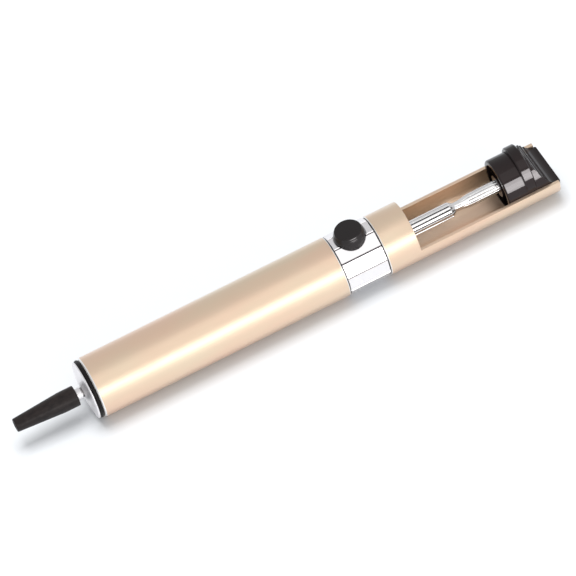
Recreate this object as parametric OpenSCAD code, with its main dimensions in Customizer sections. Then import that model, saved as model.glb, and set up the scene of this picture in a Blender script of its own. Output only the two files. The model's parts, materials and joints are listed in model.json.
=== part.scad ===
// Spring-driven desoldering pump, modelled lying on its side with the release button on top.
// X runs from the nozzle mouth to the thumb knob, Z is up, and the origin is the nozzle mouth.

/* [Tube] */
// Outer diameter of the barrel and of the plunger guard
tube_d = 20; // [19.6:0.1:20.4]
// Wall thickness of both tubes
tube_wall = 1.15; // [1.05:0.05:1.25]
// Length of the barrel
barrel_len = 85.3; // [84:0.1:88]
// Length of the plunger guard
guard_len = 59.5; // [58:0.5:61]
// Length of the guard that stays a full tube
guard_full_len = 10.8; // [10:0.2:12]

/* [Nozzle and nose] */
// Length of the nozzle
nozzle_len = 21.1; // [20.5:0.1:21.5]
// Outer diameter of the nozzle at its mouth
nozzle_tip_d = 4.5; // [4.3:0.1:4.8]
// Outer diameter of the nozzle at its foot
nozzle_foot_d = 6.7; // [6.6:0.1:7]
// Diameter of the suction bore
nozzle_bore_d = 2.3; // [2.2:0.1:2.4]
// Diameter of the spigot that the nozzle is pushed onto
spigot_d = 3.9; // [3.8:0.05:4]
// Length of the spigot that shows between the nozzle and the nose
spigot_show = 2.2; // [1.8:0.1:2.4]
// Depth of the shallow polished dome of the nose, with its rim
dome_len = 1.65; // [1.5:0.05:1.8]
// Length of the nose plug inside the barrel
plug_len = 6.7; // [6:0.1:7]

/* [Piston] */
// Length of the piston
piston_len = 9.8; // [9:0.1:10]
// Plunger stroke from released to latched
stroke = 35; // [34:0.1:35.2]
// Diameter of the cleaning pin
pin_d = 1.8; // [1.6:0.1:2]
// Wire diameter of the main spring
spring_wire_d = 1.2; // [1:0.1:1.3]
// Coils of the main spring
spring_coils = 14; // [12:1:16]

/* [Collar and button] */
// Length of the twelve-sided collar between the tubes
collar_len = 14.4; // [14:0.1:15]
// Diameter of the release button at its foot
button_d = 10.2; // [9.8:0.1:10.3]
// Height of the button's top above the tube axis
button_top = 12.8; // [12.4:0.1:13]
// Travel of the release button
button_travel = 1.8; // [1.4:0.1:1.9]

/* [Plunger] */
// Diameter of the fluted plunger rod
rod_d = 5.2; // [5:0.1:5.3]
// Diameter of the latch neck
neck_d = 3.2; // [3:0.1:3.4]
// Flutes round the rod
flutes = 12; // [10:1:12]
// Diameter of the knob inside the guard
knob_d = 17.2; // [17:0.1:17.3]
// Length of the knob
knob_len = 17.8; // [17.6:0.1:18]
// Height of the knob's crescent lug above the tube axis
lug_top = 10.4; // [10.2:0.1:10.6]

/* [Hidden] */
$fn = 96;

// clearances: a sliding fit, a close fit inside one assembly, a gap at a stop
slide_gap = 0.05;
close_gap = 0.02;
stop_gap = 0.1;

tube_r = tube_d / 2;
bore_r = tube_r - tube_wall;

// stations along the axis, front to back
nose_face_x = nozzle_len + spigot_show;
rim_x = nose_face_x + dome_len;
barrel_x = rim_x + 1.35;
plug_end_x = barrel_x + plug_len;
circlip_x = plug_end_x + 0.6;
circlip_w = 1;
stop_x = circlip_x + circlip_w;
stop_w = 2.2;
stop_hole_r = 5.5;
spring_x = stop_x + stop_w;
spring_r = 7.3;
collar_x = barrel_x + barrel_len;
spigot_len = 6;
bumper_w = 1.7;
bumper_x = collar_x - spigot_len - bumper_w;
piston_back_x = bumper_x - stop_gap;
piston_x = piston_back_x - piston_len;
washer_w = 0.8;
washer_r = 8.4;
nut_w = 2.8;
nut_corner_r = 4.04;
pin_seat_len = 6;
nut_x = piston_x - washer_w - nut_w;
guard_x = collar_x + collar_len;
guard_end_x = guard_x + guard_len;
rear_spigot_len = 5;
button_x = collar_x + collar_len / 2 - 0.3;
neck_x = button_x + stroke;
knob_end_x = guard_end_x + 0.7;
knob_x = knob_end_x - knob_len;

// nose
rim_r = 9.5;
dome_r = 9.2;
undercut_r = 1.6;
nose_bore_r = 1.15;
spigot_front_x = nozzle_len - 7.4;
plug_r = bore_r - 0.03;
o_ring_r = 0.65;
o_ring_mid_r = 9.12;
groove_r = o_ring_mid_r - o_ring_r;

// piston and its seal
piston_r = bore_r - slide_gap;
seal_r = 0.8;
seal_mid_r = piston_r - seal_r;
seal_x = piston_x + piston_len / 2;
stud_r = 2;

// rod, its bush and the bumper
rod_r = rod_d / 2;
neck_r = neck_d / 2;
rod_tail_r = 2.15;
flute_r = 0.5;
guide_r = rod_r + slide_gap;
bush_r = 3.6;
bush_end_x = button_x - 5.4;

// collar, its corners level with the tubes
collar_corner_r = tube_r + 0.08;
flat_z = collar_corner_r * cos(15);

// button, latch slider and their spring
button_r = button_d / 2;
button_hole_r = button_r + slide_gap;
button_foot_z = 6.2;
slider_r = 4.2;
slider_hole_r = slider_r + 0.03;
slider_foot_z = -4.4;
button_floor_z = -8.5;
stem_r = 1.8;
stem_top_z = 10.2;
button_spring_r = 2.9;
button_wire_d = 0.45;
button_coils = 3.5;

// knob
knob_r = knob_d / 2;
lug_x = knob_x + 6.5;
lug_w = 3.5;
lug_r = 8.75;
lug_z = lug_top - lug_r;
knob_hub_r = 3.7;
knob_rim_r = 7.3;
recess_len = 5.2;
webs = 6;
web_w = 1.1;
insert_r = 3;
insert_x = knob_x + 1.4;
insert_len = 6.4;
rod_end_x = knob_x + 9.4;
scoop_x = lug_x + lug_w + 0.1;
scoop_z = 8.9;
tongue_z = -0.9;

// Solid turned about the tube axis, from points [radius, x]
module turned(points) {
    rotate([0, 90, 0]) rotate_extrude() polygon(points);
}

// Cylinder along the tube axis from x to x + len
module bar(x, len, r, sides = 96) {
    translate([x, 0, 0]) rotate([0, 90, 0]) rotate(180 / sides) cylinder(r = r, h = len, $fn = sides);
}

// Ring along the tube axis
module ring(x, len, r, hole_r) {
    difference() {
        bar(x, len, r);
        bar(x - 1, len + 2, hole_r);
    }
}

// O-ring round the tube axis
module o_ring(x, mid_r, section_r) {
    translate([x, 0, 0]) rotate([0, 90, 0]) rotate_extrude() translate([mid_r, 0]) circle(section_r, $fn = 48);
}

// Coil spring along +Z with closed, flat-lying end coils
function coil_z(t, turns, len, wire) =
    let (dead = 0.75, live = turns - 2 * dead, s = max(0, min(1, (t - dead) / live)))
    wire / 2 + wire * 0.02 + (len - wire * 1.04) * (0.06 * min(1, t / dead)
        + 0.88 * s + 0.06 * max(0, (t - turns + dead) / dead));

module coil_spring(mid_r, wire, turns, len, steps, sides) {
    rings = floor(turns * steps);
    points = [for (i = [0:rings], k = [0:sides - 1])
        let (t = i / steps, a = 360 * t, b = 360 * k / sides, r = mid_r + wire / 2 * cos(b))
        [r * cos(a), r * sin(a), coil_z(t, turns, len, wire) + wire / 2 * sin(b)]];
    skin = [for (i = [0:rings - 1], k = [0:sides - 1]) let (n = (k + 1) % sides)
        [i * sides + k, (i + 1) * sides + k, (i + 1) * sides + n, i * sides + n]];
    first = [for (k = [0:sides - 1]) k];
    last = [for (k = [sides - 1:-1:0]) rings * sides + k];
    polyhedron(points, concat([first], skin, [last]), convexity = 10);
}

module nozzle() color([0.10, 0.09, 0.09])
    difference() {
        turned([[0, 0], [nozzle_tip_d / 2 - 0.3, 0], [nozzle_tip_d / 2, 0.35],
                [nozzle_foot_d / 2, nozzle_len - 5], [nozzle_foot_d / 2, nozzle_len], [0, nozzle_len]]);
        turned([[0, -1], [nozzle_bore_d / 2, -1], [nozzle_bore_d / 2, spigot_front_x - 2],
                [spigot_d / 2 + 0.03, spigot_front_x - 0.6], [spigot_d / 2 + 0.03, nozzle_len + 1],
                [0, nozzle_len + 1]]);
    }

module nose_cone() color([0.82, 0.82, 0.84])
    difference() {
        turned([[0, spigot_front_x], [spigot_d / 2 - 0.3, spigot_front_x],
                [spigot_d / 2, spigot_front_x + 0.3], [spigot_d / 2, nose_face_x - 0.5],
                [undercut_r, nose_face_x - 0.5], [undercut_r, nose_face_x],
                [spigot_d / 2 + 0.25, nose_face_x],
                [dome_r * 0.6, nose_face_x + 0.45], [dome_r, rim_x - 0.6],
                [rim_r, rim_x - 0.35], [rim_r, rim_x], [groove_r, rim_x],
                [groove_r, barrel_x], [plug_r, barrel_x], [plug_r, plug_end_x - 0.5],
                [plug_r - 0.5, plug_end_x], [0, plug_end_x]]);
        turned([[0, spigot_front_x - 1], [nose_bore_r, spigot_front_x - 1], [nose_bore_r, rim_x - 0.5],
                [plug_r - 1.2, rim_x + 4], [plug_r - 1.2, plug_end_x + 1], [0, plug_end_x + 1]]);
    }

module nose_o_ring() color([0.05, 0.05, 0.05]) o_ring(rim_x + o_ring_r, o_ring_mid_r, o_ring_r);

module barrel() color([0.87, 0.76, 0.64])
    difference() {
        turned([[0, barrel_x], [tube_r - 0.45, barrel_x], [tube_r, barrel_x + 0.6],
                [tube_r, collar_x - 0.15], [tube_r - 0.15, collar_x], [0, collar_x]]);
        bar(barrel_x - 1, barrel_len + 2, bore_r);
        bar(circlip_x, circlip_w, bore_r + 0.4);
    }

module stop_circlip() color([0.35, 0.35, 0.36])
    difference() {
        ring(circlip_x + close_gap, circlip_w - 2 * close_gap, bore_r + 0.35, bore_r - 1.3);
        translate([circlip_x - 1, -1.5, -tube_r]) cube([circlip_w + 2, 3, tube_r]);
    }

module spring_stop_ring() color([0.7, 0.7, 0.72]) ring(stop_x, stop_w, bore_r - close_gap, stop_hole_r);

module main_spring() color([0.62, 0.63, 0.65])
    translate([spring_x, 0, 0]) rotate([0, 90, 0])
        coil_spring(spring_r, spring_wire_d, spring_coils, piston_x - washer_w - spring_x, 16, 8);

module cleaning_pin() color([0.75, 0.75, 0.77])
    turned([[0, stroke - 0.8], [pin_d / 2 - 0.35, stroke - 0.8], [pin_d / 2, stroke - 0.3],
            [pin_d / 2, nut_x + pin_seat_len], [0, nut_x + pin_seat_len]]);

module piston() color([0.20, 0.20, 0.21])
    difference() {
        turned([[stud_r, piston_x], [piston_r - 0.4, piston_x], [piston_r, piston_x + 0.4],
                [piston_r, seal_x - 1], [seal_mid_r - seal_r, seal_x - 1],
                [seal_mid_r - seal_r, seal_x + 1], [piston_r, seal_x + 1],
                [piston_r, piston_back_x - 0.4], [piston_r - 0.4, piston_back_x],
                [stud_r, piston_back_x]]);
        bar(piston_x - 1, piston_len + 2, stud_r + close_gap);
    }

module piston_seal() color([0.05, 0.05, 0.05]) o_ring(seal_x, seal_mid_r, seal_r);

module piston_washer() color([0.75, 0.75, 0.77])
    ring(piston_x - washer_w, washer_w, washer_r, stud_r + close_gap);

module piston_nut() color([0.72, 0.60, 0.30])
    difference() {
        bar(nut_x, nut_w, nut_corner_r, 6);
        bar(nut_x - 1, nut_w + 2, stud_r + close_gap);
    }

// Cutter for one flute of the rod, whose floor is at a radius
module flute(x, end_x, floor_r) {
    translate([x, 0, floor_r + flute_r]) rotate([0, 90, 0]) cylinder(r = flute_r, h = end_x - x, $fn = 24);
}

module plunger_rod() color([0.78, 0.78, 0.80])
    difference() {
        turned([[0, nut_x - 0.8], [stud_r - 0.3, nut_x - 0.8], [stud_r, nut_x - 0.5],
                [stud_r, piston_back_x], [rod_r, piston_back_x], [rod_r, neck_x - 1.9],
                [neck_r, neck_x - 0.4], [neck_r, neck_x + 0.5], [rod_tail_r - 0.05, neck_x + 5],
                [rod_tail_r, knob_x - 1], [rod_tail_r, rod_end_x], [0, rod_end_x]]);
        bar(nut_x - 2, pin_seat_len + 2, pin_d / 2 + close_gap);
        for (k = [0:flutes - 1]) rotate([360 * (k + 0.5) / flutes, 0, 0]) {
            flute(piston_back_x + 2, neck_x - 1.4, rod_r - 0.22);
            flute(neck_x + 3, knob_x - 0.3, rod_tail_r - 0.17);
        }
    }

module bumper() color([0.12, 0.12, 0.12]) ring(bumper_x, bumper_w, bore_r - 0.3, rod_r + 0.3);

module collar() color([0.84, 0.84, 0.86])
    difference() {
        union() {
            bar(collar_x - spigot_len, spigot_len + 1, bore_r - close_gap);
            bar(collar_x + 0.1, collar_len - 0.2, collar_corner_r, 12);
            bar(guard_x - 1, rear_spigot_len + 1, bore_r - close_gap);
        }
        bar(collar_x - spigot_len - 1, spigot_len + collar_len + rear_spigot_len + 2, guide_r + close_gap);
        bar(collar_x - spigot_len - 1, bush_end_x - collar_x + spigot_len + 1, bush_r);
        translate([button_x, 0, button_floor_z]) cylinder(r = slider_hole_r, h = 20);
        translate([button_x, 0, button_foot_z - button_travel - 0.2]) cylinder(r = button_hole_r, h = 10);
    }

module rod_bush() color([0.92, 0.92, 0.88])
    ring(collar_x - spigot_len, bush_end_x - collar_x + spigot_len, bush_r - close_gap, guide_r);

module latch_slider() color([0.70, 0.70, 0.72])
    translate([button_x, 0, 0]) difference() {
        union() {
            translate([0, 0, slider_foot_z]) cylinder(r = slider_r, h = button_foot_z - slider_foot_z);
            translate([0, 0, button_foot_z]) cylinder(r = stem_r, h = stem_top_z - button_foot_z);
        }
        for (z = [0, button_travel]) translate([-6, 0, z]) rotate([0, 90, 0]) cylinder(r = guide_r, h = 12);
        translate([-6, -guide_r, 0]) cube([12, 2 * guide_r, button_travel]);
    }

module release_button() color([0.10, 0.09, 0.09])
    translate([button_x, 0, 0]) difference() {
        rotate_extrude() polygon(concat(
            [[0, button_foot_z], [button_r, button_foot_z], [button_r, flat_z + 0.3]],
            [for (a = [0:15:90]) [button_r - 1.1 + 0.7 * cos(a), button_top - 0.7 + 0.7 * sin(a)]],
            [[0, button_top]]));
        translate([0, 0, button_foot_z - 1])
            cylinder(r = stem_r + close_gap, h = stem_top_z - button_foot_z + 1.1);
    }

module button_spring() color([0.66, 0.67, 0.69])
    translate([button_x, 0, button_floor_z])
        coil_spring(button_spring_r, button_wire_d, button_coils, slider_foot_z - button_floor_z, 16, 8);

module guard_tube() color([0.87, 0.76, 0.64])
    difference() {
        turned([[bore_r, guard_x], [tube_r - 0.15, guard_x], [tube_r, guard_x + 0.15],
                [tube_r, guard_end_x - 0.15], [tube_r - 0.15, guard_end_x], [bore_r, guard_end_x]]);
        translate([guard_x + guard_full_len, -tube_r - 1, 0])
            cube([guard_len, tube_d + 2, tube_d]);
    }

module knob() color([0.09, 0.08, 0.08])
    difference() {
        union() {
            difference() {
                turned(concat([[0, knob_x]],
                    [for (a = [0:18:90]) [knob_r - 0.6 + 0.6 * sin(a), knob_x + 0.6 - 0.6 * cos(a)]],
                    [[knob_r, knob_end_x - 0.3], [knob_r - 0.3, knob_end_x], [0, knob_end_x]]));
                ring(knob_x - 1, recess_len + 1, knob_rim_r, knob_hub_r);
            }
            intersection() {
                for (k = [0:webs - 1]) rotate([360 * k / webs + 30, 0, 0])
                    translate([knob_x + 1.2, -web_w / 2, 0]) cube([recess_len, web_w, knob_r - 0.5]);
                ring(knob_x, recess_len + 1, knob_rim_r + 0.4, knob_hub_r - 0.4);
            }
            translate([0, 0, lug_z]) bar(lug_x, lug_w, lug_r);
        }
        bar(knob_x - 1, rod_end_x - knob_x + 1.1, rod_tail_r + close_gap);
        bar(insert_x, insert_len, insert_r + close_gap);
        translate([0, 12, 0]) rotate([90, 0, 0]) linear_extrude(24) polygon(concat(
            [[lug_x + lug_w - 0.3, 12], [lug_x + lug_w - 0.3, 10.2]],
            [for (u = [0:0.1:1]) [scoop_x + u * (knob_end_x - scoop_x),
                                  tongue_z + (scoop_z - tongue_z) * pow(1 - u, 2.2)]],
            [[knob_end_x + 1, tongue_z], [knob_end_x + 1, 12]]));
    }

module knob_insert() color([0.80, 0.65, 0.30])
    ring(insert_x + close_gap, insert_len - 2 * close_gap, insert_r, rod_tail_r + close_gap);

nozzle();
nose_cone();
nose_o_ring();
barrel();
stop_circlip();
spring_stop_ring();
main_spring();
cleaning_pin();
piston();
piston_seal();
piston_washer();
piston_nut();
plunger_rod();
bumper();
collar();
rod_bush();
latch_slider();
release_button();
button_spring();
guard_tube();
knob();
knob_insert();
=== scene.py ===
"""Desoldering pump, lying on its side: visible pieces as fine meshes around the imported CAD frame.

Lengths in this script are millimetres in the part's own frame: X runs from the nozzle mouth to the
thumb knob and Z points at the release button. solid() turns them into metres.
"""
import json
import math

import bmesh
import bpy
from mathutils import Matrix, Vector


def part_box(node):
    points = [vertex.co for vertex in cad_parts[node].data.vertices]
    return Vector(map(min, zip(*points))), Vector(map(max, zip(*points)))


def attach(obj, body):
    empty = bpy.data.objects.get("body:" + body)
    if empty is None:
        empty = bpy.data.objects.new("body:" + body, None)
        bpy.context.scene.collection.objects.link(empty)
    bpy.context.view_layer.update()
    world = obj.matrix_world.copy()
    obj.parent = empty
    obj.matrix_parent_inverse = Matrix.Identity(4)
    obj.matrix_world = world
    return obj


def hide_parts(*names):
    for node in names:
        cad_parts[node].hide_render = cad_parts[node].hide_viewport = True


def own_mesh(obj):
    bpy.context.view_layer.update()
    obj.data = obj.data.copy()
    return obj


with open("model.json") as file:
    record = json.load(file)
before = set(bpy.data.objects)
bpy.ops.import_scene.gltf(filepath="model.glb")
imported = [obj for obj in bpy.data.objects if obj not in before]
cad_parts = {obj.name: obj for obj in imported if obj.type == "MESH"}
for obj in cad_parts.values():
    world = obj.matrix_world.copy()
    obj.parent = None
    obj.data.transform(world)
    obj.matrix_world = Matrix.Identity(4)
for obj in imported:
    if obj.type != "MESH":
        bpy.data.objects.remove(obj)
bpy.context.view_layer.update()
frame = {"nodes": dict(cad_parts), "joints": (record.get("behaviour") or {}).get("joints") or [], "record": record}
MM = 0.001


# ---------------------------------------------------------------- measures read from the frame
def span(node, axis):
    """Lowest and highest coordinate of a node along one axis, in millimetres."""
    low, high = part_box(node)
    return low[axis] / MM, high[axis] / MM


def travel(joint_name):
    """How far a sliding joint goes, in millimetres."""
    return next(j for j in frame["joints"] if j["name"] == joint_name)["range_m"][1] / MM


X, Y, Z = 0, 1, 2
barrel_x, collar_x = span("barrel", X)
guard_x, guard_end_x = span("guard_tube", X)
nozzle_x, nozzle_end_x = span("nozzle", X)
ring_x, ring_end_x = span("nose_o_ring", X)
nose_x, plug_end_x = span("nose_cone", X)
knob_x, knob_end_x = span("knob", X)
rod_x, rod_end_x = span("plunger_rod", X)
button_low_x, button_high_x = span("release_button", X)
button_foot_z, button_top_z = span("release_button", Z)

wall = 1.15
tube_r = span("barrel", Y)[1]
bore_r = tube_r - wall
knob_r = span("knob", Y)[1]
lug_top = span("knob", Z)[1]
rod_r = span("plunger_rod", Y)[1]
ring_outer_r = span("nose_o_ring", Y)[1]
nozzle_r = span("nozzle", Y)[1]
rim_r = span("nose_cone", Y)[1]
channel_r = 1.15  # the suction channel through the nozzle and the nose
collar_end_x = guard_x  # the collar's spigots hide its own ends, so the tubes' ends give them
collar_corners = 12
half_corner = 180 / collar_corners
collar_corner_r = span("collar", Y)[1] / math.cos(math.radians(half_corner))
button_x = (button_low_x + button_high_x) / 2
button_r = (button_high_x - button_low_x) / 2
rim_x = ring_x
neck_x = button_x + travel("plunger_slide")
plain_rim_length, lug_thickness, full_tube_length = 6.5, 3.5, 10.8
lug_x = knob_x + plain_rim_length
lug_end_x = lug_x + lug_thickness
trough_x = guard_x + full_tube_length


# ---------------------------------------------------------------- mesh tools
def solid(name, verts, faces, smooth_angle=30):
    """A mesh object from points in millimetres, shaded smooth below an edge angle in degrees."""
    mesh = bpy.data.meshes.new(name)
    mesh.from_pydata([tuple(c * MM for c in v) for v in verts], [], faces)
    obj = bpy.data.objects.new(name, mesh)
    bpy.context.scene.collection.objects.link(obj)
    tidy(obj, smooth_angle)
    return obj


def tidy(obj, smooth_angle=30):
    """Welds, turns the faces outward and sets which edges are sharp."""
    work = bmesh.new()
    work.from_mesh(obj.data)
    bmesh.ops.remove_doubles(work, verts=work.verts, dist=1e-7)
    bmesh.ops.recalc_face_normals(work, faces=work.faces)
    work.to_mesh(obj.data)
    work.free()
    obj.data.shade_smooth()
    obj.data.set_sharp_from_angle(angle=math.radians(smooth_angle))


def turned(name, profile, sides=160, smooth_angle=30, upright=False):
    """A closed solid turned about the tube axis, or about +Z, from a closed loop of (axial, radius)."""
    count = len(profile)
    verts = []
    for i in range(sides):
        c, s = math.cos(2 * math.pi * i / sides), math.sin(2 * math.pi * i / sides)
        for along, r in profile:
            verts.append((r * c, r * s, along) if upright else (along, r * c, r * s))
    faces = []
    for i in range(sides):
        j = (i + 1) % sides
        for k in range(count):
            n = (k + 1) % count
            if profile[k][1] < 1e-6 and profile[n][1] < 1e-6:
                continue
            faces.append((i * count + k, j * count + k, j * count + n, i * count + n))
    return solid(name, verts, faces, smooth_angle)


def arc(along, r, radius, start, end, steps=6):
    """Points of an arc about (along, r); at angle 0 it points along the axis, at 90 outward."""
    points = []
    for i in range(steps + 1):
        a = math.radians(start + (end - start) * i / steps)
        points.append((along + radius * math.cos(a), r + radius * math.sin(a)))
    return points


def prism(name, outline, low, high):
    """An outline of (x, z) points pulled straight along Y."""
    count = len(outline)
    verts = [(x, low, z) for x, z in outline] + [(x, high, z) for x, z in outline]
    faces = [tuple(range(count)), tuple(range(2 * count - 1, count - 1, -1))]
    faces += [(k, (k + 1) % count, count + (k + 1) % count, count + k) for k in range(count)]
    return solid(name, verts, faces)


def apply_modifiers(obj):
    """Bakes the object's modifiers into its mesh."""
    shaped = bpy.data.meshes.new_from_object(obj.evaluated_get(bpy.context.evaluated_depsgraph_get()))
    obj.modifiers.clear()
    obj.data = shaped
    return obj


def combine(obj, tool, operation):
    """Cuts, joins or intersects with a tool solid, which is used up."""
    cut = obj.modifiers.new("combine", "BOOLEAN")
    cut.object = tool
    cut.operation = operation
    cut.solver = "EXACT"
    apply_modifiers(obj)
    bpy.data.objects.remove(tool)
    return obj


def soften(obj, width, angle=35, segments=3):
    """Rounds every edge sharper than an angle."""
    work = bmesh.new()
    work.from_mesh(obj.data)
    bmesh.ops.dissolve_limit(work, angle_limit=math.radians(0.5), verts=work.verts, edges=work.edges)
    work.to_mesh(obj.data)
    work.free()
    bevel = obj.modifiers.new("soften", "BEVEL")
    bevel.width = width * MM
    bevel.segments = segments
    bevel.limit_method = "ANGLE"
    bevel.angle_limit = math.radians(angle)
    apply_modifiers(obj)
    tidy(obj)
    return obj


def place(obj, body, slot, material, *nodes):
    """Puts a piece on its body, with its material, for the CAD nodes it replaces; its slot is not used."""
    obj.data.materials.clear()
    obj.data.materials.append(material)
    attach(obj, body)
    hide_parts(*nodes)
    return obj


# ---------------------------------------------------------------- materials
def shader(name, color, metallic=0.0, roughness=0.5, **sockets):
    """A Principled material and its node tree; extra sockets are given by name with underscores."""
    material = bpy.data.materials.new(name)
    material.use_nodes = True
    surface = material.node_tree.nodes["Principled BSDF"]
    surface.inputs["Base Color"].default_value = (*color, 1)
    surface.inputs["Metallic"].default_value = metallic
    surface.inputs["Roughness"].default_value = roughness
    for key, value in sockets.items():
        surface.inputs[key.replace("_", " ")].default_value = value
    return material


def node(material, kind, **values):
    """Adds a shader node; values set its properties or, where it has none, its inputs."""
    made = material.node_tree.nodes.new(kind)
    for key, value in values.items():
        if hasattr(made, key):
            setattr(made, key, value)
        else:
            made.inputs[key.replace("_", " ")].default_value = value
    return made


def wire(material, source, target, socket_in, socket_out=0):
    """Links an output of one shader node to an input of another."""
    material.node_tree.links.new(source.outputs[socket_out], target.inputs[socket_in])


def grain(material, stretch, scale, detail=4.0):
    """Noise in object space, in cells per millimetre, drawn out along the axes by stretch."""
    place_at = node(material, "ShaderNodeTexCoord")
    mapping = node(material, "ShaderNodeMapping", Scale=tuple(scale * s / MM for s in stretch))
    noise = node(material, "ShaderNodeTexNoise", Scale=1.0, Detail=detail, Roughness=0.55)
    wire(material, place_at, mapping, "Vector", "Object")
    wire(material, mapping, noise, "Vector")
    return noise


def vary(material, noise, socket, low, high, start=0.3, stop=0.7):
    """Drives a socket of the surface between two values, or two colours, by a noise."""
    surface = material.node_tree.nodes["Principled BSDF"]
    if isinstance(low, tuple):
        ramp = node(material, "ShaderNodeValToRGB")
        ramp.color_ramp.elements[0].position = start
        ramp.color_ramp.elements[1].position = stop
        ramp.color_ramp.elements[0].color = (*low, 1)
        ramp.color_ramp.elements[1].color = (*high, 1)
        wire(material, noise, ramp, "Fac")
        wire(material, ramp, surface, socket)
    else:
        spread = node(material, "ShaderNodeMapRange", From_Min=start, From_Max=stop,
                      To_Min=low, To_Max=high)
        wire(material, noise, spread, "Value")
        wire(material, spread, surface, socket)


def bump(material, noise, height, strength=1.0):
    """Bump of a height in millimetres."""
    surface = material.node_tree.nodes["Principled BSDF"]
    relief = node(material, "ShaderNodeBump", Strength=strength, Distance=height * MM)
    wire(material, noise, relief, "Height")
    wire(material, relief, surface, "Normal")


def paint_crease_shade(material, unshaded, crease_shade, reach):
    """Paints shade into the base colour: darkens creases narrower than a reach in millimetres, by ambient
    occlusion.
    """
    surface = material.node_tree.nodes["Principled BSDF"]
    crease = node(material, "ShaderNodeAmbientOcclusion", samples=8, Distance=reach * MM)
    ramp = node(material, "ShaderNodeValToRGB")
    ramp.color_ramp.elements[0].position = 0.5
    ramp.color_ramp.elements[1].position = 0.92
    ramp.color_ramp.elements[0].color = (*crease_shade, 1)
    ramp.color_ramp.elements[1].color = (*unshaded, 1)
    wire(material, crease, ramp, "Fac", "AO")
    wire(material, ramp, surface, "Base Color")


def paint_rim_highlights(material, color, rims):
    """A painted highlight: pale bands across the tube axis, each a middle and a half width in millimetres."""
    surface = material.node_tree.nodes["Principled BSDF"]
    mix = node(material, "ShaderNodeMixRGB", Color2=(*color, 1))
    anodised_skin = surface.inputs["Base Color"].links[0].from_node
    wire(material, anodised_skin, mix, "Color1")
    split = node(material, "ShaderNodeSeparateXYZ")
    wire(material, node(material, "ShaderNodeTexCoord"), split, "Vector", "Object")
    total = None
    for middle, half in rims:
        near = node(material, "ShaderNodeMath", operation="COMPARE")
        near.inputs[1].default_value = middle * MM
        near.inputs[2].default_value = half * MM
        wire(material, split, near, 0, "X")
        if total:
            both = node(material, "ShaderNodeMath", operation="MAXIMUM")
            wire(material, total, both, 0)
            wire(material, near, both, 1)
            near = both
        total = near
    wire(material, total, mix, "Fac")
    wire(material, mix, surface, "Base Color")


def anodised():
    """Champagne anodised aluminium: satin, with fine draw lines, a clear skin and a painted highlight on its cut
    edges.
    """
    made = shader("anodised_champagne", (0.79, 0.58, 0.42), 0.92, 0.4,
                  Coat_Weight=1.0, Coat_Roughness=0.32, Coat_IOR=1.62)
    lines = grain(made, (0.03, 1, 1), 3.5)
    vary(made, lines, "Roughness", 0.36, 0.46)
    cloud = grain(made, (0.3, 1, 1), 0.08, 2.0)
    vary(made, cloud, "Base Color", (0.80, 0.55, 0.40), (0.74, 0.595, 0.43))
    bump(made, grain(made, (1, 1, 1), 9.0, 2.0), 0.004, 0.5)
    # painted highlight: pale bands at the barrel's front lip and at the tubes' ends by the collar
    paint_rim_highlights(made, (0.93, 0.92, 0.90),
              [(barrel_x + 0.2, 0.35), (collar_x - 0.1, 0.16), (guard_x + 0.1, 0.16)])
    return made


def chrome(name, roughness):
    """Chrome with a trace of polishing lines round the axis and painted shade in its creases."""
    made = shader(name, (0.89, 0.87, 0.88), 1.0, roughness)
    lines = grain(made, (3, 0.3, 0.3), 1.2)
    vary(made, lines, "Roughness", roughness - 0.04, roughness + 0.04)
    bump(made, grain(made, (4, 0.2, 0.2), 1.5, 2.0), 0.0012, 0.4)
    # painted shade: the base colour darkens to near black in creases, by ambient occlusion
    paint_crease_shade(made, (0.89, 0.87, 0.88), (0.09, 0.08, 0.08), 0.5)
    return made


def polished_steel():
    """Bright drawn rod, with fine lines along it and painted shade in its flutes."""
    made = shader("polished_steel", (0.86, 0.85, 0.85), 1.0, 0.16)
    vary(made, grain(made, (0.05, 1, 1), 5.0), "Roughness", 0.12, 0.22)
    bump(made, grain(made, (0.06, 1, 1), 7.0, 2.0), 0.002, 0.5)
    # painted shade: the base colour darkens to near black in the flutes, by ambient occlusion
    paint_crease_shade(made, (0.86, 0.85, 0.85), (0.02, 0.018, 0.018), 0.6)
    return made


def turned_metal(name, color, roughness):
    """Lathe-turned metal, with fine rings round the axis."""
    made = shader(name, color, 1.0, roughness)
    vary(made, grain(made, (5, 0.2, 0.2), 3.0), "Roughness", roughness * 0.8, roughness * 1.25)
    bump(made, grain(made, (6, 0.1, 0.1), 3.0, 2.0), 0.003, 0.6)
    return made


def drawn_wire():
    """Spring wire, slightly uneven in tone."""
    made = shader("spring_steel", (0.52, 0.53, 0.55), 1.0, 0.3)
    vary(made, grain(made, (1, 1, 1), 1.5), "Roughness", 0.24, 0.38)
    vary(made, grain(made, (1, 1, 1), 0.6), "Base Color", (0.48, 0.49, 0.51), (0.57, 0.57, 0.59))
    return made


def ptfe():
    """Black heat-proof plastic, turned: waxy, with faint rings and paler rubbed streaks."""
    made = shader("ptfe_black", (0.012, 0.009, 0.009), 0.0, 0.4, Specular_IOR_Level=0.22)
    vary(made, grain(made, (0.5, 1, 1), 0.9), "Base Color",
         (0.007, 0.005, 0.005), (0.018, 0.013, 0.012))
    vary(made, grain(made, (0.2, 1, 1), 2.0), "Roughness", 0.32, 0.48)
    bump(made, grain(made, (5, 0.3, 0.3), 2.0, 3.0), 0.006, 0.5)
    return made


def rubber():
    """Matte black rubber of the O-rings and the bumper."""
    made = shader("rubber_black", (0.006, 0.005, 0.005), 0.0, 0.42, Specular_IOR_Level=0.15)
    vary(made, grain(made, (1, 1, 1), 2.5), "Roughness", 0.36, 0.5)
    bump(made, grain(made, (1, 1, 1), 8.0, 2.0), 0.006, 0.4)
    return made


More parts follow.
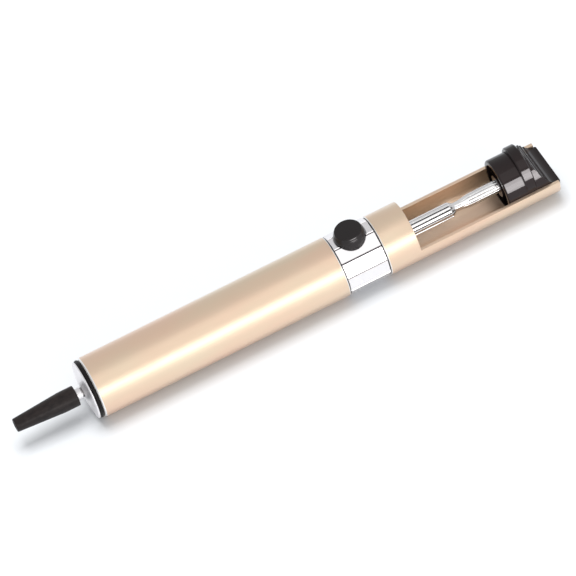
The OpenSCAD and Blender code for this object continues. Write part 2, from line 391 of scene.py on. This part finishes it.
def gloss_black():
    """Glossy moulded black plastic, with the slight waviness of a moulding."""
    made = shader("knob_black", (0.006, 0.004, 0.004), 0.0, 0.09, Specular_IOR_Level=0.25)
    vary(made, grain(made, (1, 1, 1), 0.8), "Roughness", 0.07, 0.11)
    bump(made, grain(made, (1, 1, 1), 0.35, 2.0), 0.006, 0.3)
    return made


def satin_black():
    """Black plastic with a spark-eroded satin skin."""
    made = shader("button_black", (0.006, 0.005, 0.005), 0.0, 0.2, Specular_IOR_Level=0.25)
    vary(made, grain(made, (1, 1, 1), 1.5), "Roughness", 0.14, 0.24)
    bump(made, grain(made, (1, 1, 1), 7.0, 2.0), 0.008, 0.4)
    return made


def moulded(name, color, roughness):
    """Plain moulded plastic of the hidden pieces."""
    made = shader(name, color, 0.0, roughness)
    vary(made, grain(made, (1, 1, 1), 1.2), "Roughness", roughness - 0.06, roughness + 0.06)
    bump(made, grain(made, (4, 0.4, 0.4), 2.0, 2.0), 0.006, 0.4)
    return made


LOOK = {
    "anodised_champagne": anodised(),
    "chrome": chrome("polished_chrome", 0.24),
    "polished_steel": polished_steel(),
    "steel": turned_metal("steel", (0.62, 0.61, 0.60), 0.3),
    "brass": turned_metal("brass", (0.78, 0.58, 0.24), 0.26),
    "spring_steel": drawn_wire(),
    "ptfe_black": ptfe(),
    "rubber_black": rubber(),
    "knob_black": gloss_black(),
    "button_black": satin_black(),
    "piston_plastic": moulded("piston_plastic", (0.05, 0.05, 0.055), 0.4),
    "bush_plastic": moulded("bush_plastic", (0.80, 0.79, 0.72), 0.42),
}

for entry in frame["record"]["subparts"]:
    for slot in frame["nodes"][entry["node"]].material_slots:
        slot.material = LOOK[entry["material_slot"]]


# ---------------------------------------------------------------- nozzle, nose and O-ring
def nozzle():
    """A taper with a rounded tip, a short straight foot and a socket for the spigot."""
    tip_r, round_r, chamfer, socket_r, foot_length = 2.25, 0.35, 0.12, 1.98, 5
    tip = arc(nozzle_x + round_r, tip_r - round_r, round_r, 180, 97, 5)
    return turned("nozzle_body", [(nozzle_x + chamfer, channel_r), (nozzle_x, channel_r + chamfer),
                                  *tip, (nozzle_end_x - foot_length, nozzle_r),
                                  (nozzle_end_x - chamfer, nozzle_r),
                                  (nozzle_end_x, nozzle_r - chamfer), (nozzle_end_x, socket_r),
                                  (nose_x - 0.6, socket_r), (nose_x - 2, channel_r)], 96)


def nose_cone():
    """Spigot with an undercut behind it, and a shallow polished dome with a rim before the O-ring."""
    spigot_r, undercut_r, foot_r, dome_r = 1.95, 1.6, 2.2, 9.2
    face_x = rim_x - 1.65
    groove_r = ring_outer_r - 1.3
    plug_r, plug_wall, chamfer = bore_r - 0.03, 1.2, 0.5
    undercut = [(face_x - 0.5, spigot_r), (face_x - 0.5, undercut_r), (face_x + 0.05, undercut_r)]
    dome = []
    for i in range(13):
        share = i / 12
        dome.append((face_x + 1.05 * share ** 1.3, foot_r + (dome_r - foot_r) * share))
    rim = arc(rim_x - 0.25, rim_r - 0.22, 0.22, 140, 20, 5)
    return turned("nose_body", [(nose_x, channel_r), (nose_x, spigot_r - 0.3), (nose_x + 0.3, spigot_r),
                                *undercut, *dome, *rim, (rim_x, groove_r),
                                (barrel_x, groove_r), (barrel_x, plug_r),
                                (plug_end_x - chamfer, plug_r), (plug_end_x, plug_r - chamfer),
                                (plug_end_x, plug_r - plug_wall), (rim_x + 4, plug_r - plug_wall),
                                (rim_x - 0.5, channel_r)], 192)


def nose_o_ring():
    """The O-ring between the nose's rim and the barrel."""
    section_r = (ring_end_x - ring_x) / 2
    middle = ring_outer_r - section_r
    return turned("nose_seal_ring", arc(ring_x + section_r, middle, section_r, 0, 345, 23), 160, 60)


place(nozzle(), "nozzle_tip", "ptfe_black", LOOK["ptfe_black"], "nozzle")
place(nose_cone(), "nose", "chrome", chrome("turned_chrome", 0.42), "nose_cone")
place(nose_o_ring(), "nose", "rubber_black", LOOK["rubber_black"], "nose_o_ring")


# ---------------------------------------------------------------- tubes
def barrel():
    """A tube with a rolled front lip and the groove for the stop ring's circlip."""
    chamfer, lip_r, groove_width, groove_depth = 0.15, 0.7, 1, 0.4
    lip = [(barrel_x, tube_r - 0.5), *arc(barrel_x + lip_r, tube_r - lip_r, lip_r, 165, 90, 6)]
    groove_x = plug_end_x + 0.6
    groove_end_x, groove_r = groove_x + groove_width, bore_r + groove_depth
    return turned("barrel_tube", [(barrel_x, bore_r), *lip, (collar_x - chamfer, tube_r),
                                  (collar_x, tube_r - chamfer), (collar_x, bore_r),
                                  (groove_end_x, bore_r), (groove_end_x, groove_r),
                                  (groove_x, groove_r), (groove_x, bore_r)], 256)


def guard_tube():
    """A full tube by the collar that becomes a half-open trough."""
    chamfer, past_end_x, clear = 0.15, guard_end_x + 5, 15
    tube = turned("guard_trough", [(guard_x, bore_r), (guard_x, tube_r - chamfer),
                                   (guard_x + chamfer, tube_r), (guard_end_x, tube_r),
                                   (guard_end_x, bore_r)], 256)
    window = prism("window", [(trough_x, 0), (past_end_x, 0), (past_end_x, clear), (trough_x, clear)],
                   -clear, clear)
    return soften(combine(tube, window, "DIFFERENCE"), 0.14)


place(barrel(), "pump_body", "anodised_champagne", LOOK["anodised_champagne"], "barrel")
place(guard_tube(), "pump_body", "anodised_champagne", LOOK["anodised_champagne"], "guard_tube")


# ---------------------------------------------------------------- collar and button
def collar():
    """Twelve flats with a scribed line along each corner, chamfered ends, a spigot into each tube,
    the rod's bore and the seat of the button and its slider."""
    gap, chamfer_length, chamfer_depth = 0.1, 0.3, 0.35
    line, line_depth = 0.34, 0.5
    slider_r, slider_foot_z, button_seat_z = 4.23, -8.5, 4.2
    flat_r = collar_corner_r * math.cos(math.radians(half_corner))
    slant = math.degrees(math.atan2(line, flat_r))
    outline = []
    for i in range(collar_corners):
        a = half_corner + 360 / collar_corners * i
        beside_r = flat_r / math.cos(math.radians(half_corner - slant))
        outline += [(a - slant, beside_r), (a, collar_corner_r - line_depth), (a + slant, beside_r)]
    ends = [(collar_x + gap, -chamfer_depth), (collar_x + gap + chamfer_length, 0),
            (collar_end_x - gap - chamfer_length, 0), (collar_end_x - gap, -chamfer_depth)]
    count, sides = len(ends), len(outline)
    verts = []
    for a, r in outline:
        c, s = math.cos(math.radians(a)), math.sin(math.radians(a))
        verts += [(x, (r + inset) * c, (r + inset) * s) for x, inset in ends]
    faces = [tuple(i * count for i in range(sides)), tuple(i * count + count - 1 for i in range(sides))]
    for i in range(sides):
        j = (i + 1) % sides
        faces += [(i * count + k, j * count + k, j * count + k + 1, i * count + k + 1)
                  for k in range(count - 1)]
    body = solid("collar_body", verts, faces)
    spigot_r, rod_bore_r, seat_r = bore_r - 0.02, rod_r + 0.07, button_r + 0.05
    for low_x, high_x in ((collar_x - 6, collar_x + 1), (collar_end_x - 1, collar_end_x + 5)):
        spigot = turned("spigot", [(low_x, 0), (low_x, spigot_r), (high_x, spigot_r), (high_x, 0)], 160)
        combine(body, spigot, "UNION")
    bore = turned("bore", [(collar_x - 8, 0), (collar_x - 8, rod_bore_r),
                           (collar_end_x + 8, rod_bore_r), (collar_end_x + 8, 0)], 96)
    combine(body, bore, "DIFFERENCE")
    seat = turned("seat", [(slider_foot_z, 0), (slider_foot_z, slider_r), (button_seat_z, slider_r),
                           (button_seat_z, seat_r), (15, seat_r), (15, 0)], 128, upright=True)
    seat.data.transform(Matrix.Translation((button_x * MM, 0, 0)))
    combine(body, seat, "DIFFERENCE")
    tidy(body, 10)
    return body


def release_button():
    """A round cap with a flat matte top, a soft edge and a barrelled side."""
    flat_z, edge, bulge, socket_r, socket_top_z = 9.9, 0.5, 0.6, 1.82, 10.3
    side = [(button_foot_z, button_r - 0.1), (button_foot_z + 0.1, button_r), (flat_z, button_r)]
    for i in range(1, 9):
        share = i / 8
        side.append((flat_z + (button_top_z - edge - flat_z) * share, button_r - bulge * share ** 2))
    top = arc(button_top_z - edge, side[-1][1] - edge, edge, 75, 0, 6)
    made = turned("release_button_cap", [(button_foot_z, socket_r), *side, *top, (button_top_z, 0),
                                         (socket_top_z, 0), (socket_top_z, socket_r)],
                  128, 25, upright=True)
    made.data.transform(Matrix.Translation((button_x * MM, 0, 0)))
    return made


place(collar(), "pump_body", "chrome", LOOK["chrome"], "collar")
button_cap = place(release_button(), "button", "button_black", LOOK["button_black"],
                   "release_button")


# ---------------------------------------------------------------- plunger rod
def plunger_rod():
    """Fluted rod with a latch neck and a tapered tail. A station is x, radius and the flutes' share."""
    flutes, depth, tail_r, tail_cut, neck_r, stud_r = 12, 0.42, 2.15, 0.45, 1.6, 2.0
    pin_hole_r, pin_hole_depth = 0.91, 8
    back_x = span("piston", X)[1]
    stations = [(rod_x, pin_hole_r, 0), (rod_x, stud_r - 0.25, 0), (rod_x + 0.3, stud_r, 0),
                (back_x, stud_r, 0), (back_x, rod_r - 0.15, 0), (back_x + 0.15, rod_r, 0),
                (back_x + 2.0, rod_r, 0), (back_x + 2.3, rod_r, 1)]
    stations += [(neck_x - 2.2, rod_r, 1), (neck_x - 1.9, rod_r, 0.9),
                 (neck_x - 1.75, rod_r - 0.1, 0.7), (neck_x - 0.5, neck_r + 0.06, 0),
                 (neck_x - 0.3, neck_r, 0), (neck_x + 0.5, neck_r, 0)]
    for i in range(1, 13):
        t = i / 12
        ease = t * t * (3 - 2 * t)
        stations.append((neck_x + 0.5 + 5.5 * t, neck_r + (tail_r - neck_r) * ease, tail_cut * ease))
    stations += [(knob_x - 0.3, tail_r, tail_cut), (knob_x, tail_r, 0), (rod_end_x - 0.2, tail_r, 0),
                 (rod_end_x, tail_r - 0.2, 0)]
    sides = flutes * 14
    verts = []
    for x, r, cut in stations:
        for i in range(sides):
            turn = i / sides * flutes % 1
            hollow = max(0.0, math.cos(2 * math.pi * (turn - 0.5))) ** 1.8
            local = r - depth * cut * hollow
            a = 2 * math.pi * i / sides
            verts.append((x, local * math.sin(a), local * math.cos(a)))
    faces = []
    for k in range(len(stations) - 1):
        for i in range(sides):
            j = (i + 1) % sides
            faces.append((k * sides + i, k * sides + j, (k + 1) * sides + j, (k + 1) * sides + i))
    last = (len(stations) - 1) * sides
    faces.append(tuple(range(last, last + sides)))
    for i in range(sides):
        a = 2 * math.pi * i / sides
        verts.append((rod_x + pin_hole_depth, pin_hole_r * math.sin(a), pin_hole_r * math.cos(a)))
    floor = last + sides
    faces += [(i, (i + 1) % sides, floor + (i + 1) % sides, floor + i) for i in range(sides)]
    faces.append(tuple(range(floor, floor + sides)))
    return solid("fluted_rod", verts, faces, 35)


place(plunger_rod(), "plunger", "polished_steel", LOOK["polished_steel"], "plunger_rod")


# ---------------------------------------------------------------- knob
def knob():
    """A round knob, hollow with webs at the front, with a lug on top, a ridged scoop and a tongue."""
    rim, hub, depth, corner, chamfer = 7.3, 3.7, 5.2, 0.6, 0.3
    lug_r, lug_chamfer = 8.75, 0.35
    webs, web_half_width, web_x = 6, 0.55, knob_x + 1.2
    rod_hole_r, pocket_r, clear = 2.17, 3.02, 0.02
    body = turned("thumb_knob", [(knob_x, 0), (knob_x, rim + 0.3),
                                 *arc(knob_x + corner, knob_r - corner, corner, 180, 90, 6),
                                 (knob_end_x - chamfer, knob_r), (knob_end_x, knob_r - chamfer),
                                 (knob_end_x, 0)], 192)
    lug = turned("lug", [(lug_x, 0), (lug_x, lug_r - lug_chamfer), (lug_x + lug_chamfer, lug_r),
                         (lug_end_x - lug_chamfer, lug_r), (lug_end_x, lug_r - lug_chamfer),
                         (lug_end_x, 0)], 160)
    lug.data.transform(Matrix.Translation((0, 0, (lug_top - lug_r) * MM)))
    combine(body, lug, "UNION")
    recess = turned("recess", [(knob_x - 1, hub), (knob_x - 1, rim), (knob_x + depth, rim - 0.3),
                               (knob_x + depth, hub)], 128)
    for k in range(webs):
        web = prism("web", [(web_x, 0), (knob_x + depth + 1, 0), (knob_x + depth + 1, knob_r),
                            (web_x, knob_r)], -web_half_width, web_half_width)
        web.data.transform(Matrix.Rotation(math.radians(360 / webs * k + 30), 4, "X"))
        combine(recess, web, "DIFFERENCE")
    combine(body, recess, "DIFFERENCE")
    rod_hole = turned("rod_hole", [(knob_x - 1, 0), (knob_x - 1, rod_hole_r),
                                   (rod_end_x + 0.1, rod_hole_r), (rod_end_x + 0.1, 0)], 64)
    combine(body, rod_hole, "DIFFERENCE")
    insert_x, insert_end_x = span("knob_insert", X)
    pocket = turned("pocket", [(insert_x - clear, 0), (insert_x - clear, pocket_r),
                               (insert_end_x + clear, pocket_r), (insert_end_x + clear, 0)], 64)
    combine(body, pocket, "DIFFERENCE")
    scoop_x, scoop_z, tongue_z, clear_r = lug_end_x + 0.1, 8.9, -0.9, 12
    outline = [(lug_end_x - 0.3, clear_r), (lug_end_x - 0.3, 10.2)]
    steps, ridges, ridge_height, ridged_share = 60, 4, 0.28, 0.6
    for i in range(steps + 1):
        u = i / steps
        ridge = 0.0
        if u < ridged_share:
            ridge = ridge_height * max(0.0, math.sin(2 * math.pi * ridges * u / ridged_share))
        outline.append((scoop_x + u * (knob_end_x - scoop_x) + ridge * 0.8,
                        tongue_z + (scoop_z - tongue_z) * (1 - u) ** 2.2 + ridge * 0.5))
    outline += [(knob_end_x + 1, tongue_z), (knob_end_x + 1, clear_r)]
    combine(body, prism("scoop", outline, -clear_r, clear_r), "DIFFERENCE")
    return soften(body, 0.16, 28, 3)


thumb_knob = place(knob(), "plunger", "knob_black", LOOK["knob_black"], "knob")


# ---------------------------------------------------------------- springs
def coil(name, start, axis, mean_r, wire_d, turns, length, sides=12, steps=40):
    """A compression spring along X or Z, with its end coils lying flat."""
    def height(t):
        dead, end_share = 0.75, 0.06
        live = max(0.0, min(1.0, (t - dead) / (turns - 2 * dead)))
        ends = end_share * min(1, t / dead) + end_share * max(0, (t - turns + dead) / dead)
        return wire_d * 0.52 + (length - wire_d * 1.04) * ((1 - 2 * end_share) * live + ends)

    rings = round(turns * steps)
    verts = []
    for i in range(rings + 1):
        t = i / steps
        a = 2 * math.pi * t
        for k in range(sides):
            b = 2 * math.pi * k / sides
            r = mean_r + wire_d / 2 * math.cos(b)
            along = height(t) + wire_d / 2 * math.sin(b)
            across = (r * math.cos(a), r * math.sin(a))
            verts.append((start[0] + along, across[0], across[1]) if axis == X
                         else (start[0] + across[0], across[1], start[2] + along))
    faces = [tuple(range(sides)), tuple(range(rings * sides, (rings + 1) * sides))]
    faces += [(i * sides + k, (i + 1) * sides + k, (i + 1) * sides + (k + 1) % sides,
               i * sides + (k + 1) % sides) for i in range(rings) for k in range(sides)]
    return solid(name, verts, faces, 60)


spring_x, spring_end_x = span("main_spring", X)
main_spring = coil("main_coil_spring", (spring_x, 0, 0), X, mean_r=7.3, wire_d=1.2, turns=14,
                   length=spring_end_x - spring_x)
place(main_spring, "pump_body", "spring_steel", LOOK["spring_steel"], "main_spring")
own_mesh(main_spring)

latch_z, latch_end_z = span("button_spring", Z)
button_spring = coil("latch_coil_spring", (button_x, 0, latch_z), Z, mean_r=2.9, wire_d=0.45,
                     turns=3.5, length=latch_end_z - latch_z)
place(button_spring, "pump_body", "spring_steel", LOOK["spring_steel"], "button_spring")
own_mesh(button_spring)


# ---------------------------------------------------------------- floor, light and camera
def floor():
    """The pale plane that the pump lies on."""
    half, level = 3000, -tube_r - 0.02
    made = solid("floor", [(-half, -half, level), (half, -half, level), (half, half, level),
                           (-half, half, level)], [(0, 1, 2, 3)])
    white = shader("floor_white", (0.673, 0.691, 0.710), 0.0, 0.7, Specular_IOR_Level=0.2)
    vary(white, grain(white, (1, 1, 1), 0.02), "Roughness", 0.65, 0.75)
    made.data.materials.append(white)


def softbox(name, direction, distance, width, height, power, color=(1, 1, 1)):
    """An area light at a direction from the middle of the pump, facing it; lengths in millimetres."""
    light = bpy.data.lights.new(name, "AREA")
    light.shape = "RECTANGLE"
    light.size, light.size_y = width * MM, height * MM
    light.energy = power
    light.color = color
    obj = bpy.data.objects.new(name, light)
    middle = Vector((95, 0, 0)) * MM
    toward = Vector(direction).normalized()
    obj.location = middle + toward * distance * MM
    obj.rotation_euler = toward.to_track_quat("Z", "Y").to_euler()
    bpy.context.scene.collection.objects.link(obj)
    return obj


def from_sky(azimuth, elevation):
    """Direction from the pump to a light; azimuth 0 is in front, -Y, and grows towards +X."""
    a, e = math.radians(azimuth), math.radians(elevation)
    return math.sin(a) * math.cos(e), -math.cos(a) * math.cos(e), math.sin(e)


floor()
world = bpy.data.worlds.new("studio")
bpy.context.scene.world = world
world.use_nodes = True
world.node_tree.nodes["Background"].inputs["Color"].default_value = (0.985, 0.99, 1, 1)
world.node_tree.nodes["Background"].inputs["Strength"].default_value = 0.72
softbox("front_strip", from_sky(9, 17), distance=600, width=700, height=200, power=1.5,
        color=(1, 0.985, 0.97))
softbox("high_front", from_sky(20, 66), distance=900, width=900, height=560, power=0.8,
        color=(1, 0.98, 0.96))
fill = softbox("floor_fill", from_sky(180, 87), distance=1500, width=800, height=800, power=18.0)
fill.visible_glossy = False
glint = softbox("knob_glint", from_sky(9, 20), distance=600, width=420, height=437, power=11.5,
                color=(1, 0.95, 0.96))
glint_on = bpy.data.collections.new("glint_on")
glint_on.objects.link(thumb_knob)
glint_on.objects.link(button_cap)
glint.light_linking.receiver_collection = glint_on

# the camera's axes, what it looks at, and how far and how wide it sees, in metres
BACK = Vector((-0.1444, -0.6621, 0.7353))
UP = Vector((0.4399, 0.6226, 0.6470))
RIGHT = UP.cross(BACK)
TARGET = Vector((95.1, 0.45, 0.4)) * MM
DISTANCE = 1.8
VIEW_WIDTH = 0.1786

camera_data = bpy.data.cameras.new("camera")
camera_data.sensor_width = 36
camera_data.lens = camera_data.sensor_width * DISTANCE / VIEW_WIDTH
camera_data.clip_end = 20
camera = bpy.data.objects.new("camera", camera_data)
bpy.context.scene.collection.objects.link(camera)
turn = Matrix((RIGHT, UP, BACK)).transposed().to_4x4()
camera.matrix_world = Matrix.Translation(TARGET + BACK * DISTANCE) @ turn
bpy.context.scene.camera = camera
bpy.context.scene.view_settings.view_transform = "Standard"
